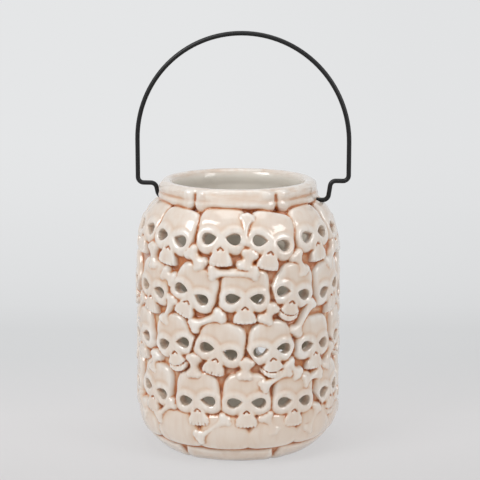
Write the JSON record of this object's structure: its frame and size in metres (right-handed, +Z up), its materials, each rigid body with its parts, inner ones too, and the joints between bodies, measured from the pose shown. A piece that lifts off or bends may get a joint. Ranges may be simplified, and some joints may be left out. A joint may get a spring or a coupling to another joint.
{
  "type": "skull lantern",
  "caption": "Jar-shaped ceramic lantern carved all over with skulls and bones, eye sockets pierced through, with a swinging wire bail.",
  "frame": {"origin": "centre of the body's flat underside, on the body's axis", "axes": "+Z up the body's axis, +X along the line of the bail's two pivots, -Y towards the front"},
  "size_m": [0.159, 0.1512, 0.3037],
  "materials": {
    "ceramic": "glossy cream glaze with brown stain left in the grooves",
    "wire": "black, softly shining"
  },
  "bodies": {
    "lantern": {"lantern_body": "ceramic"},
    "bail": {"bail_handle": "wire"}
  },
  "joints": [
    {"name": "bail_swing", "type": "hinge", "parent": "lantern", "child": "bail", "pos_m": [0, 0, 0.182], "axis": [1, 0, 0], "range_deg": [-80, 84]}
  ]
}
